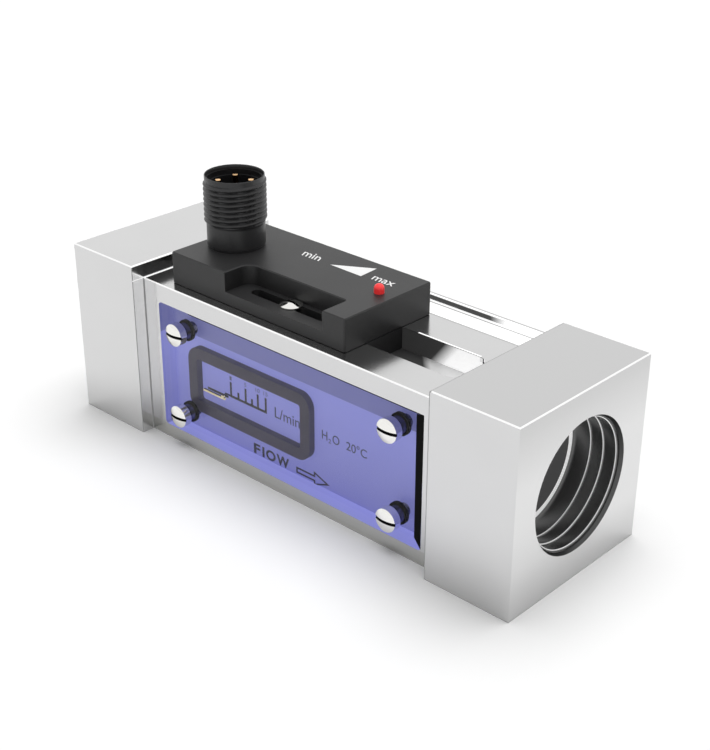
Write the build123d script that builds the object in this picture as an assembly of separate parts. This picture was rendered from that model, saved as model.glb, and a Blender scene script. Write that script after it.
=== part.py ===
from build123d import *
import os
from math import cos, pi, radians, sin, sqrt

# Piston flow switch: a milled metal bar with a pipe port in each end, a clear window
# in its front face, a sprung piston inside and a switch head that slides on its top.
# Millimetres. X is the flow direction, -Y the window side, Z up, and the origin is
# the middle of the underside.

# The bar
BAR_LENGTH = 110.5
BAR_WIDTH = 36.0
BAR_HEIGHT = 36.0
PORT_BLOCK = 18.0
FRONT_STEP = 2.7
TOP_STEP = 3.0
EDGE_BREAK = 0.22

# The pipe ports, G 3/4 inside thread, and the bore between them
PORT_R = 12.06
PORT_DEPTH = 10.25
PORT_MOUTH_R = 12.46
PORT_MOUTH_DEPTH = 1.0
PORT_RELIEF_R = 11.0
PORT_RELIEF_DEPTH = 5.75
BORE_WALL = 1.45

# The guide groove and the shallow rebate in the top of the bar
GROOVE_WIDTH = 9.7
GROOVE_Y = -2.8
GROOVE_DEPTH = 4.2
GROOVE_LENGTH = 68.4
GROOVE_CORNER_R = 2.7
REBATE_WIDTH = 6.6
REBATE_FROM_BACK = 4.5
REBATE_DEPTH = 1.0

# The window: pocket, clear plate, gasket and cover screws
WINDOW_LENGTH = 67.2
WINDOW_HEIGHT = 26.4
WINDOW_BELOW_AXIS = 2.4
WINDOW_X = 0.5
WINDOW_RISE = 0.45
WINDOW_CORNER_R = 0.8
PLATE_CLEARANCE = 0.05
PLATE_THICKNESS = 4.5
PLATE_BEVEL = 0.7
PLATE_HOLE_R = 1.7
GASKET_LENGTH = 32.9
GASKET_SIDE_MARGIN = 6.3
GASKET_WALL = 2.4
GASKET_THICKNESS = 1.35
GASKET_CORNER_R = 3.0
GASKET_X = -11.2
GASKET_BELOW_AXIS = 3.6
COVER_SCREW_END_INSET = 6.3
COVER_SCREW_SIDE_INSET = 4.4
COVER_SCREW_R = 1.25
COVER_SCREW_TIP_WALL = 0.43
COVER_HEAD_R = 2.25
COVER_HEAD_HEIGHT = 2.1
COVER_HEAD_BEVEL = 0.3
DRIVER_SLOT_WIDTH = 0.6
DRIVER_SLOT_DEPTH = 0.7

# The piston, which rests on the stop ring at the inlet side
PISTON_X = -25.5
PISTON_LENGTH = 14.0
PISTON_CLEARANCE = 0.05
PISTON_LAND = 3.0
PISTON_WAIST_CUT = 0.5
INLET_LIP = 2.05
INLET_CONE_DEPTH = 3.0
PISTON_WALL = 1.4
MAGNET_WALL = 2.55
MAGNET_LENGTH = 5.0
MAGNET_CAP = 2.0
STOP_LENGTH = 4.0
STOP_WALL = 1.6
TRAVEL = 10.3

# The pointer: a blade from the piston through a slit in the wall, with a bar on its tip
POINTER_TIP_X = -17.8
POINTER_LENGTH = 6.05
POINTER_BELOW_AXIS = 5.35
POINTER_HEIGHT = 0.4
POINTER_THICKNESS = 0.4
POINTER_STAND_OFF = 0.75
BLADE_WIDTH = 0.6
BLADE_INSET = 0.3
BLADE_THICKNESS = 0.2
BLADE_RISE = 0.5
BLADE_ROOT = 0.8
SLIT_CLEARANCE = 0.1
SLIT_END_CLEARANCE = 0.2

# The return spring, its seat and the ring that holds the seat
SPRING_WIRE = 0.9
SPRING_EDGE = 0.3
SPRING_LENGTH = 38.0
SPRING_TURNS = 7
SPRING_STEPS_PER_TURN = 20
WIRE_SIDES = 8
SEAT_THICKNESS = 3.0
SEAT_COLLAR_LENGTH = 2.5
SEAT_COLLAR_WALL = 0.8
SEAT_GAP = 0.1
SEAT_HUB_R = 1.8
SEAT_ARM_WIDTH = 1.6
SEAT_ARMS = 3
RING_THICKNESS = 1.0
RING_GROOVE = 0.6
RING_WALL = 1.3
RING_GAP_ANGLE = 40.0
RING_EAR_R = 1.3
RING_EAR_HOLE_R = 0.5

# The switch housing
HOUSING_LEFT = -31.2
HOUSING_LENGTH = 45.2
HOUSING_FRONT = -13.0
HOUSING_WIDTH = 22.7
HOUSING_HEIGHT = 6.4
HOUSING_ROUND = 0.4
HOUSING_BEVEL = 0.2
HOUSING_FOOT_BEVEL = 0.15
HOUSING_WALL = 1.5
HOUSING_ROOF = 1.4
NOTCH_LEFT = -16.3
NOTCH_LENGTH = 24.9
NOTCH_DEPTH = 6.2
LEDGE_HEIGHT = 2.5
NOTCH_LEFT_R = 2.4
NOTCH_RIGHT_R = 0.6
SLOT_LEFT = -13.0
SLOT_LENGTH = 19.2
SLOT_CLEARANCE = 0.15
TONGUE_CLEARANCE = 0.08
TONGUE_FLOOR_GAP = 0.1
TONGUE_SETBACK = 3.3
BASE_THICKNESS = 1.5

# The lock screw, M2
LOCK_X = -3.0
LOCK_Y = -9.05
LOCK_R = 1.0
LOCK_CLEARANCE = 0.04
LOCK_HEAD_R = 2.15
LOCK_RIM = 0.3
LOCK_DOME = 0.55
LOCK_SLOT_DEPTH = 0.4
LOCK_THREAD = 3.2
LOCK_HOLE_SPARE = 0.3

# What the housing holds
BOARD_THICKNESS = 1.0
BOARD_EDGE_GAP = 0.4
REED_R = 1.1
REED_LENGTH = 14.0
REED_TAPER = 0.7
REED_X = -6.5
REED_Y = -2.8
LEAD_R = 0.3
LEAD_LENGTH = 2.5
LEAD_BURIED = 0.5
LEAD_FOOT_R = 0.45
CHANNEL_CLEARANCE = 0.3
CHANNEL_FLOOR = 1.0
LAMP_X = 10.5
LAMP_Y = -0.45
LAMP_R = 0.95
LAMP_FLANGE_R = 1.4
LAMP_FLANGE = 0.6
LAMP_STAND = 1.7
LAMP_ROUND = 0.85

# The M12 connector
CONN_X = -25.2
CONN_Y = -1.75
SEAL_R = 5.4
SEAL_THICKNESS = 0.3
COLLAR_R = 5.6
COLLAR_HEIGHT = 4.3
THREAD_R = 6.0
THREAD_LENGTH = 8.9
LEAD_IN_R = 5.8
LEAD_IN = 0.6
SPIGOT_R = 4.5
SPIGOT_LENGTH = 2.4
CARRIER_R = 3.9
SOCKET_R = 4.8
SOCKET_DEPTH = 7.5
MOUTH_R = 5.5
MOUTH_DEPTH = 0.8
STEP_R = 5.2
STEP_DEPTH = 1.0
KEY_WIDTH = 1.0
KEY_DEPTH = 1.4
PIN_R = 0.55
PIN_PITCH = 4.4
PIN_RECESS = 1.2
PIN_TIP = 0.3

# Places that follow from the sizes above
END_X = BAR_LENGTH / 2
MID_LENGTH = BAR_LENGTH - 2 * PORT_BLOCK
FACE_Y = -BAR_WIDTH / 2 + FRONT_STEP
DECK_Z = BAR_HEIGHT - TOP_STEP
AXIS_Z = BAR_HEIGHT / 2
SCREWS_Z = AXIS_Z - WINDOW_BELOW_AXIS
WINDOW_Z = SCREWS_Z + WINDOW_RISE
GASKET_Z = AXIS_Z - GASKET_BELOW_AXIS
GASKET_HEIGHT = WINDOW_HEIGHT - 2 * GASKET_SIDE_MARGIN
PLATE_BACK_Y = FACE_Y + PLATE_THICKNESS
FLOOR_Y = PLATE_BACK_Y + GASKET_THICKNESS
BORE_R = -FLOOR_Y - BORE_WALL
REBATE_Y = BAR_WIDTH / 2 - REBATE_FROM_BACK
COVER_SCREW_X = WINDOW_LENGTH / 2 - COVER_SCREW_END_INSET
COVER_SCREW_DZ = WINDOW_HEIGHT / 2 - COVER_SCREW_SIDE_INSET
SCREW_TO_AXIS = max(COVER_SCREW_DZ - WINDOW_BELOW_AXIS - COVER_SCREW_R, 0.0)
COVER_TIP_Y = -sqrt(max(BORE_R ** 2 - SCREW_TO_AXIS ** 2, 0.0)) - COVER_SCREW_TIP_WALL
COVER_THREAD = COVER_TIP_Y - FLOOR_Y
PISTON_R = BORE_R - PISTON_CLEARANCE
PISTON_END_X = PISTON_X + PISTON_LENGTH
WAIST_R = PISTON_R - PISTON_WAIST_CUT
MAGNET_R = WAIST_R - PISTON_WALL
ORIFICE_R = MAGNET_R - MAGNET_WALL
INLET_CONE_R = PISTON_R - INLET_LIP
STOP_BORE_R = BORE_R - STOP_WALL
MAGNET_X = PISTON_END_X - MAGNET_CAP - MAGNET_LENGTH
POINTER_Z = AXIS_Z - POINTER_BELOW_AXIS
BLADE_X = POINTER_TIP_X - BLADE_INSET - BLADE_WIDTH / 2
BLADE_Z = POINTER_Z + BLADE_RISE
POINTER_BACK_Y = FLOOR_Y - POINTER_STAND_OFF
SPRING_R = MAGNET_R - SPRING_WIRE / 2 - SPRING_EDGE
SEAT_X = PISTON_END_X + SPRING_LENGTH
RING_X = SEAT_X + SEAT_THICKNESS
RING_R = BORE_R + RING_GROOVE
HOUSING_X = HOUSING_LEFT + HOUSING_LENGTH / 2
HOUSING_Y = HOUSING_FRONT + HOUSING_WIDTH / 2
TOP_Z = DECK_Z + HOUSING_HEIGHT
LEDGE_Z = DECK_Z + LEDGE_HEIGHT
NOTCH_BACK = HOUSING_FRONT + NOTCH_DEPTH
BOARD_Z = DECK_Z + BASE_THICKNESS
BOARD_TOP_Z = BOARD_Z + BOARD_THICKNESS
CHANNEL_Z = DECK_Z - GROOVE_DEPTH + TONGUE_FLOOR_GAP + CHANNEL_FLOOR
COLLAR_Z = TOP_Z + SEAL_THICKNESS
THREAD_Z = COLLAR_Z + COLLAR_HEIGHT
RIM_Z = THREAD_Z + THREAD_LENGTH + LEAD_IN
SOCKET_Z = RIM_Z - SOCKET_DEPTH


def box(x_size, y_size, z_size, x, y, z):
    """A box centred on x and y, standing on z."""
    return Pos(x, y, z) * Box(x_size, y_size, z_size, align=(Align.CENTER, Align.CENTER, Align.MIN))


def post(radius, height, x, y, z):
    """An upright cylinder standing on z."""
    return Pos(x, y, z) * Cylinder(radius, height, align=(Align.CENTER, Align.CENTER, Align.MIN))


def rod_x(radius, length, x, y=0.0, z=AXIS_Z):
    """A cylinder along X that starts at x."""
    turned = Rot(0, 90, 0) * Cylinder(radius, length, align=(Align.CENTER, Align.CENTER, Align.MIN))
    return Pos(x, y, z) * turned


def rod_y(radius, length, x, y, z):
    """A cylinder along Y that starts at y."""
    turned = Rot(-90, 0, 0) * Cylinder(radius, length, align=(Align.CENTER, Align.CENTER, Align.MIN))
    return Pos(x, y, z) * turned


def slab_y(length, height, corner_r, depth, x, y, z):
    """A plate with rounded corners that lies against a wall: y is its front face."""
    outline = Plane.XZ * RectangleRounded(length, height, corner_r)
    return Pos(x, y, z) * extrude(outline, -depth)


def turned_x(points):
    """A solid turned about the bore's axis from (x, radius) points."""
    outline = make_face(Polyline(*[(x, radius) for x, radius in points], close=True))
    return Pos(0, 0, AXIS_Z) * (Rot(90, 0, 0) * revolve(outline, Axis.X))


def turned_z(points, x, y):
    """A solid turned about an upright axis from (radius, z) points."""
    outline = Plane.XZ * make_face(Polyline(*points, close=True))
    return Pos(x, y, 0) * revolve(outline, Axis.Z)


def cover_screw_places():
    return [(side * COVER_SCREW_X, SCREWS_Z + level * COVER_SCREW_DZ)
            for level in (1, -1) for side in (-1, 1)]


def pin_places():
    half = PIN_PITCH / 2
    return [(CONN_X + side * half, CONN_Y + back * half) for back in (-1, 1) for side in (-1, 1)]


def body_block():
    block_x = END_X - PORT_BLOCK / 2
    block = box(PORT_BLOCK, BAR_WIDTH, BAR_HEIGHT, 0, 0, 0)
    block = chamfer(block.faces().sort_by(Axis.Z)[-1].edges(), EDGE_BREAK)
    middle = box(MID_LENGTH, BAR_WIDTH - FRONT_STEP, DECK_Z, 0, FRONT_STEP / 2, 0)
    middle = chamfer(middle.faces().sort_by(Axis.Z)[-1].edges().filter_by(Axis.X), EDGE_BREAK)
    bar = middle + Pos(-block_x, 0, 0) * block + Pos(block_x, 0, 0) * block

    # The ports and the flow bore, with the groove for the retaining ring
    bar -= rod_x(BORE_R, BAR_LENGTH, -END_X)
    bar -= rod_x(RING_R, RING_THICKNESS, RING_X)
    shoulder = END_X - PORT_DEPTH
    bottom = shoulder - PORT_RELIEF_DEPTH
    mouth = END_X - PORT_MOUTH_DEPTH
    for side in (-1, 1):
        bar -= turned_x([(side * bottom, 0), (side * bottom, PORT_RELIEF_R),
                         (side * shoulder, PORT_RELIEF_R), (side * shoulder, PORT_R),
                         (side * mouth, PORT_R), (side * END_X, PORT_MOUTH_R), (side * END_X, 0)])

    # The guide groove, the rebate and the tapped hole of the lock screw
    groove = extrude(RectangleRounded(GROOVE_LENGTH, GROOVE_WIDTH, GROOVE_CORNER_R), GROOVE_DEPTH)
    bar -= Pos(0, GROOVE_Y, DECK_Z - GROOVE_DEPTH) * groove
    bar -= box(MID_LENGTH, REBATE_WIDTH, REBATE_DEPTH, 0, REBATE_Y, DECK_Z - REBATE_DEPTH)
    lock_depth = LOCK_THREAD + LOCK_HOLE_SPARE
    bar -= post(LOCK_R + LOCK_CLEARANCE, lock_depth, LOCK_X, LOCK_Y, DECK_Z - lock_depth)

    # The window pocket, its tapped holes and the slit that the pointer's blade runs in
    bar -= slab_y(WINDOW_LENGTH, WINDOW_HEIGHT, WINDOW_CORNER_R, FLOOR_Y - FACE_Y,
                  WINDOW_X, FACE_Y, WINDOW_Z)
    for x, z in cover_screw_places():
        bar -= rod_y(COVER_SCREW_R, COVER_THREAD, x, FLOOR_Y, z)
    slit_length = BLADE_WIDTH + TRAVEL + 2 * SLIT_END_CLEARANCE
    slit_height = BLADE_THICKNESS + 2 * SLIT_CLEARANCE
    bar -= box(slit_length, -FLOOR_Y, slit_height, BLADE_X + TRAVEL / 2, FLOOR_Y / 2, BLADE_Z - slit_height / 2)
    return bar


def window_plate():
    length = WINDOW_LENGTH - 2 * PLATE_CLEARANCE
    height = WINDOW_HEIGHT - 2 * PLATE_CLEARANCE
    plate = slab_y(length, height, WINDOW_CORNER_R, PLATE_THICKNESS, WINDOW_X, FACE_Y, WINDOW_Z)
    ends = plate.edges().group_by(Axis.Y)[0].filter_by(Axis.Z)
    plate = chamfer(ends, PLATE_BEVEL)
    for x, z in cover_screw_places():
        plate -= rod_y(PLATE_HOLE_R, PLATE_THICKNESS, x, FACE_Y, z)
    return plate


def window_gasket():
    outer = slab_y(GASKET_LENGTH, GASKET_HEIGHT, GASKET_CORNER_R, GASKET_THICKNESS,
                   GASKET_X, PLATE_BACK_Y, GASKET_Z)
    length = GASKET_LENGTH - 2 * GASKET_WALL
    height = GASKET_HEIGHT - 2 * GASKET_WALL
    corner_r = GASKET_CORNER_R - GASKET_WALL
    inner = slab_y(length, height, corner_r, GASKET_THICKNESS, GASKET_X, PLATE_BACK_Y, GASKET_Z)
    return outer - inner


def cut_driver_slot(head, head_r, height, depth):
    """Cuts a driver slot along X across a round head that stands on z = 0."""
    return head - box(4 * head_r, DRIVER_SLOT_WIDTH, depth, 0, 0, height - depth)


def cover_screw(x, z):
    """A slotted cheese-head screw that clamps the plate on the gasket."""
    shank_length = PLATE_THICKNESS + GASKET_THICKNESS + COVER_THREAD
    head = post(COVER_HEAD_R, COVER_HEAD_HEIGHT, 0, 0, 0)
    head = chamfer(head.edges().sort_by(Axis.Z)[-1], COVER_HEAD_BEVEL)
    screw = cut_driver_slot(head, COVER_HEAD_R, COVER_HEAD_HEIGHT, DRIVER_SLOT_DEPTH)
    screw += post(COVER_SCREW_R, shank_length, 0, 0, -shank_length)
    return Pos(x, FACE_Y, z) * (Rot(90, 0, 0) * screw)


def stop_ring():
    start = PISTON_X - STOP_LENGTH
    return rod_x(BORE_R, STOP_LENGTH, start) - rod_x(STOP_BORE_R, STOP_LENGTH, start)


def pointer_blade():
    """The blade alone, from its root in the piston to the bar."""
    wall_y = -sqrt(WAIST_R ** 2 - (AXIS_Z - BLADE_Z) ** 2)
    root_y = wall_y + BLADE_ROOT
    front_y = POINTER_BACK_Y - POINTER_THICKNESS
    return box(BLADE_WIDTH, root_y - front_y, BLADE_THICKNESS,
               BLADE_X, (root_y + front_y) / 2, BLADE_Z - BLADE_THICKNESS / 2)


def pointer():
    bar_y = POINTER_BACK_Y - POINTER_THICKNESS / 2
    bar = box(POINTER_LENGTH, POINTER_THICKNESS, POINTER_HEIGHT,
              POINTER_TIP_X - POINTER_LENGTH / 2, bar_y, POINTER_Z - POINTER_HEIGHT / 2)
    link = box(BLADE_WIDTH, POINTER_THICKNESS, BLADE_RISE, BLADE_X, bar_y, POINTER_Z)
    return pointer_blade() + bar + link


def piston():
    end = PISTON_END_X
    outer = [(PISTON_X, INLET_CONE_R), (PISTON_X, PISTON_R), (PISTON_X + PISTON_LAND, PISTON_R),
             (PISTON_X + PISTON_LAND, WAIST_R), (end - PISTON_LAND, WAIST_R),
             (end - PISTON_LAND, PISTON_R), (end, PISTON_R)]
    inner = [(end, MAGNET_R), (MAGNET_X, MAGNET_R), (MAGNET_X, ORIFICE_R),
             (PISTON_X + INLET_CONE_DEPTH, ORIFICE_R)]
    return turned_x(outer + inner) - pointer_blade()


def piston_magnet():
    return rod_x(MAGNET_R, MAGNET_LENGTH, MAGNET_X) - rod_x(ORIFICE_R, MAGNET_LENGTH, MAGNET_X)


def magnet_cap():
    start = PISTON_END_X - MAGNET_CAP
    return rod_x(MAGNET_R, MAGNET_CAP, start) - rod_x(ORIFICE_R, MAGNET_CAP, start)


def return_spring():
    """A compression spring along X with both ends ground flat, in short straight steps."""
    steps = SPRING_TURNS * SPRING_STEPS_PER_TURN
    points = []
    for step in range(steps + 1):
        angle = 2 * pi * step / SPRING_STEPS_PER_TURN
        points.append((SPRING_R * cos(angle), SPRING_R * sin(angle), SPRING_LENGTH * step / steps))
    path = Polyline(*points)
    section = Plane(path @ 0, z_dir=path % 0) * RegularPolygon(SPRING_WIRE / 2, WIRE_SIDES)
    coil = sweep(section, path, transition=Transition.RIGHT)
    coil = Pos(PISTON_END_X, 0, AXIS_Z) * (Rot(0, 90, 0) * coil)
    outer = SPRING_R + SPRING_WIRE
    return coil & rod_x(outer, SPRING_LENGTH, PISTON_END_X)


def spring_seat():
    """A disc with three arms, a hub and a collar that centres the spring."""
    collar_r = SPRING_R - SPRING_WIRE / 2 - SEAT_GAP
    window_r = collar_r - SEAT_COLLAR_WALL
    seat = rod_x(BORE_R, SEAT_THICKNESS, SEAT_X) - rod_x(window_r, SEAT_THICKNESS, SEAT_X)
    collar_x = SEAT_X - SEAT_COLLAR_LENGTH
    seat += rod_x(collar_r, SEAT_COLLAR_LENGTH, collar_x) - rod_x(window_r, SEAT_COLLAR_LENGTH, collar_x)
    seat += rod_x(SEAT_HUB_R, SEAT_THICKNESS, SEAT_X)
    reach = (window_r + collar_r) / 2
    for index in range(SEAT_ARMS):
        arm = box(SEAT_THICKNESS, SEAT_ARM_WIDTH, reach, SEAT_THICKNESS / 2, 0, 0)
        seat += Pos(SEAT_X, 0, AXIS_Z) * (Rot(360.0 * index / SEAT_ARMS, 0, 0) * arm)
    return seat


def retaining_ring():
    """An inside retaining ring with two ears, open at the bottom."""
    inner_r = RING_R - RING_WALL - RING_GROOVE
    ring = rod_x(RING_R, RING_THICKNESS, RING_X) - rod_x(inner_r, RING_THICKNESS, RING_X)
    half_gap = radians(RING_GAP_ANGLE / 2)
    reach = 2 * RING_R
    wedge = make_face(Polyline((0, 0), (-reach * sin(half_gap), -reach * cos(half_gap)),
                               (reach * sin(half_gap), -reach * cos(half_gap)), close=True))
    opening = extrude(Plane.YZ * wedge, RING_THICKNESS)
    ring -= Pos(RING_X, 0, AXIS_Z) * opening
    ear_r = RING_R - RING_GROOVE - RING_EAR_R
    for side in (-1, 1):
        angle = half_gap + RING_EAR_R / ear_r
        y = side * ear_r * sin(angle)
        z = AXIS_Z - ear_r * cos(angle)
        ring += rod_x(RING_EAR_R, RING_THICKNESS, RING_X, y, z)
        ring -= rod_x(RING_EAR_HOLE_R, RING_THICKNESS, RING_X, y, z)
    return ring


def notch_outline():
    """The front notch seen from above, with a larger round at its left end."""
    right = NOTCH_LEFT + NOTCH_LENGTH
    front = HOUSING_FRONT - HOUSING_ROUND
    area = make_face(Polyline((NOTCH_LEFT, front), (right, front), (right, NOTCH_BACK),
                              (NOTCH_LEFT, NOTCH_BACK), close=True))
    corners = area.vertices().group_by(Axis.Y)[-1].sort_by(Axis.X)
    area = fillet(corners[0], NOTCH_LEFT_R)
    corners = area.vertices().group_by(Axis.Y)[-1].sort_by(Axis.X)
    return fillet(corners[-1], NOTCH_RIGHT_R)


def cavity(z, height, gap=0.0):
    """The room inside the housing, less a gap all round."""
    left = HOUSING_LEFT + HOUSING_WALL + gap
    right = HOUSING_LEFT + HOUSING_LENGTH - HOUSING_WALL - gap
    back = HOUSING_FRONT + HOUSING_WIDTH - HOUSING_WALL - gap
    middle = NOTCH_BACK + HOUSING_WALL + gap
    front = HOUSING_FRONT + HOUSING_WALL + gap
    step = NOTCH_LEFT - HOUSING_WALL - gap
    outline = Polyline((left, front), (step, front), (step, middle), (right, middle),
                       (right, back), (left, back), close=True)
    return Pos(0, 0, z) * extrude(make_face(outline), height)


def housing_shell():
    shell = box(HOUSING_LENGTH, HOUSING_WIDTH, HOUSING_HEIGHT, HOUSING_X, HOUSING_Y, DECK_Z)
    shell = fillet(shell.edges().filter_by(Axis.Z), HOUSING_ROUND)
    shell = chamfer(shell.faces().sort_by(Axis.Z)[0].edges(), HOUSING_FOOT_BEVEL)
    notch_height = HOUSING_HEIGHT - LEDGE_HEIGHT
    shell -= Pos(0, 0, LEDGE_Z) * extrude(notch_outline(), notch_height)
    shell = chamfer(shell.faces().sort_by(Axis.Z)[-1].edges(), HOUSING_BEVEL)
    slot_width = 2 * (LOCK_R + SLOT_CLEARANCE)
    slot = extrude(SlotOverall(SLOT_LENGTH, slot_width), LEDGE_HEIGHT)
    shell -= Pos(SLOT_LEFT + SLOT_LENGTH / 2, LOCK_Y, DECK_Z) * slot
    shell -= cavity(DECK_Z, HOUSING_HEIGHT - HOUSING_ROOF)
    shell -= post(LAMP_R, HOUSING_HEIGHT, LAMP_X, LAMP_Y, DECK_Z)
    shell -= post(SPIGOT_R, HOUSING_HEIGHT, CONN_X, CONN_Y, DECK_Z)
    return shell


def base_slider():
    """The floor of the housing with the tongue that runs in the bar's groove.

    The tongue's end is flush with the housing on the outlet side. On the inlet side it is
    shorter and rounded like the groove's end, which gives the head room to slide.
    """
    tongue_depth = GROOVE_DEPTH - TONGUE_FLOOR_GAP
    tongue_width = GROOVE_WIDTH - 2 * TONGUE_CLEARANCE
    tongue_length = HOUSING_LENGTH - TONGUE_SETBACK
    tongue_x = HOUSING_X + TONGUE_SETBACK / 2
    tongue = box(tongue_length, tongue_width, tongue_depth, tongue_x, GROOVE_Y, DECK_Z - tongue_depth)
    tongue = fillet(tongue.edges().filter_by(Axis.Z).group_by(Axis.X)[0], GROOVE_CORNER_R)
    base = tongue + cavity(DECK_Z, BASE_THICKNESS)
    channel_width = 2 * (REED_R + CHANNEL_CLEARANCE)
    channel_length = REED_LENGTH + 2 * (LEAD_LENGTH + LEAD_FOOT_R + CHANNEL_CLEARANCE)
    base -= box(channel_length, channel_width, BOARD_Z - CHANNEL_Z, REED_X, REED_Y, CHANNEL_Z)
    return base


def reed_switch():
    """A glass capsule with a wire out of each end, which meets a foot that hangs from the board."""
    axis_z = CHANNEL_Z + REED_R
    capsule = rod_x(REED_R, REED_LENGTH, REED_X - REED_LENGTH / 2, REED_Y, axis_z)
    capsule = chamfer(capsule.edges().filter_by(GeomType.CIRCLE), REED_TAPER)
    reach = REED_LENGTH / 2 - LEAD_BURIED
    lead_length = LEAD_BURIED + LEAD_LENGTH
    for side, lead_x in ((-1, REED_X - reach - lead_length), (1, REED_X + reach)):
        capsule += rod_x(LEAD_R, lead_length, lead_x, REED_Y, axis_z)
        foot_x = REED_X + side * (reach + lead_length)
        foot_z = axis_z - LEAD_FOOT_R
        capsule += post(LEAD_FOOT_R, BOARD_Z - foot_z, foot_x, REED_Y, foot_z)
    return capsule


def circuit_board():
    return cavity(BOARD_Z, BOARD_THICKNESS, BOARD_EDGE_GAP)


def lamp():
    """The signal lamp: a flange on the board and a stem through the roof with a round top."""
    stem = post(LAMP_R, TOP_Z + LAMP_STAND - BOARD_TOP_Z, LAMP_X, LAMP_Y, BOARD_TOP_Z)
    stem = fillet(stem.edges().sort_by(Axis.Z)[-1], LAMP_ROUND)
    return stem + post(LAMP_FLANGE_R, LAMP_FLANGE, LAMP_X, LAMP_Y, BOARD_TOP_Z)


def connector_seal():
    ring = post(SEAL_R, SEAL_THICKNESS, CONN_X, CONN_Y, TOP_Z)
    return ring - post(SPIGOT_R, SEAL_THICKNESS, CONN_X, CONN_Y, TOP_Z)


def connector_sleeve():
    """The turned connector shell: spigot, collar, thread, lead-in and stepped socket."""
    bottom = TOP_Z - SPIGOT_LENGTH
    thread_end = THREAD_Z + THREAD_LENGTH
    flare = THREAD_R - COLLAR_R
    outer = [(CARRIER_R, bottom), (SPIGOT_R, bottom), (SPIGOT_R, COLLAR_Z), (COLLAR_R, COLLAR_Z),
             (COLLAR_R, THREAD_Z), (THREAD_R, THREAD_Z + flare), (THREAD_R, thread_end),
             (LEAD_IN_R, thread_end), (LEAD_IN_R, RIM_Z)]
    mouth_z = RIM_Z - MOUTH_DEPTH
    step_z = mouth_z - STEP_DEPTH
    inner = [(MOUTH_R, RIM_Z), (MOUTH_R, mouth_z), (STEP_R, mouth_z), (STEP_R, step_z),
             (SOCKET_R, step_z), (SOCKET_R, SOCKET_Z), (CARRIER_R, SOCKET_Z)]
    return turned_z(outer + inner, CONN_X, CONN_Y)


def contact_carrier():
    """The insert that holds the pins, with the coding key on the socket's wall."""
    bottom = TOP_Z - SPIGOT_LENGTH
    carrier = post(CARRIER_R, SOCKET_Z - bottom, CONN_X, CONN_Y, bottom)
    key_height = SOCKET_DEPTH - MOUTH_DEPTH - STEP_DEPTH
    key_x = CONN_X + SOCKET_R - KEY_DEPTH / 2
    key = box(KEY_DEPTH, KEY_WIDTH, key_height, key_x, CONN_Y, SOCKET_Z)
    carrier += key & post(SOCKET_R, key_height, CONN_X, CONN_Y, SOCKET_Z)
    for x, y in pin_places():
        carrier -= post(PIN_R, SOCKET_Z - bottom, x, y, bottom)
    return carrier


def contact_pin(x, y):
    """A round pin from the board to just below the rim, with a bevelled tip."""
    top = RIM_Z - PIN_RECESS
    pin = post(PIN_R, top - BOARD_TOP_Z, x, y, BOARD_TOP_Z)
    return chamfer(pin.edges().sort_by(Axis.Z)[-1], PIN_TIP)


def lock_screw():
    """A slotted pan-head screw that clamps the housing's ledge on the bar."""
    shank_length = LEDGE_HEIGHT + LOCK_THREAD
    height = LOCK_RIM + LOCK_DOME
    ball_r = (LOCK_HEAD_R ** 2 + LOCK_DOME ** 2) / (2 * LOCK_DOME)
    head = post(LOCK_HEAD_R, height, 0, 0, 0) & (Pos(0, 0, height - ball_r) * Sphere(ball_r))
    screw = cut_driver_slot(head, LOCK_HEAD_R, height, LOCK_SLOT_DEPTH)
    screw += post(LOCK_R, shank_length, 0, 0, -shank_length)
    return Pos(LOCK_X, LOCK_Y, LEDGE_Z) * screw


parts = {
    "body_block": body_block(),
    "window_plate": window_plate(),
    "window_gasket": window_gasket(),
    "stop_ring": stop_ring(),
    "piston": piston(),
    "piston_magnet": piston_magnet(),
    "magnet_cap": magnet_cap(),
    "pointer": pointer(),
    "return_spring": return_spring(),
    "spring_seat": spring_seat(),
    "retaining_ring": retaining_ring(),
    "housing_shell": housing_shell(),
    "base_slider": base_slider(),
    "reed_switch": reed_switch(),
    "circuit_board": circuit_board(),
    "lamp": lamp(),
    "connector_seal": connector_seal(),
    "connector_sleeve": connector_sleeve(),
    "contact_carrier": contact_carrier(),
    "lock_screw": lock_screw(),
}
for number, (x, z) in enumerate(cover_screw_places(), 1):
    parts[f"cover_screw_{number}"] = cover_screw(x, z)
for number, (x, y) in enumerate(pin_places(), 1):
    parts[f"contact_pin_{number}"] = contact_pin(x, y)

os.makedirs("parts", exist_ok=True)
for name, solid in parts.items():
    export_step(solid, f"parts/{name}.step")
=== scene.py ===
import bpy
import bmesh
from math import cos, pi, radians, sin, sqrt
from mathutils import Matrix, Vector


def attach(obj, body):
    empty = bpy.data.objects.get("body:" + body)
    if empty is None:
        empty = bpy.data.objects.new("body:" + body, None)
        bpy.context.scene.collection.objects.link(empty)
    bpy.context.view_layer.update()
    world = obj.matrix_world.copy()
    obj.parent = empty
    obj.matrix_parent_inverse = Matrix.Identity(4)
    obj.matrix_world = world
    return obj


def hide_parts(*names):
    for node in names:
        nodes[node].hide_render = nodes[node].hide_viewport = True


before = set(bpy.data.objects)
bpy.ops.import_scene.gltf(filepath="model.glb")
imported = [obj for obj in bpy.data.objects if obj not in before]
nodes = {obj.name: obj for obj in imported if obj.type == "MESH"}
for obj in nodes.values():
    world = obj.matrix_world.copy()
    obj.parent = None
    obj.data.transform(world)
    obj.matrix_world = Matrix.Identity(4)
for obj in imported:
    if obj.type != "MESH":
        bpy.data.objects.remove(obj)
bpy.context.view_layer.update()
mm = 0.001


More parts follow.
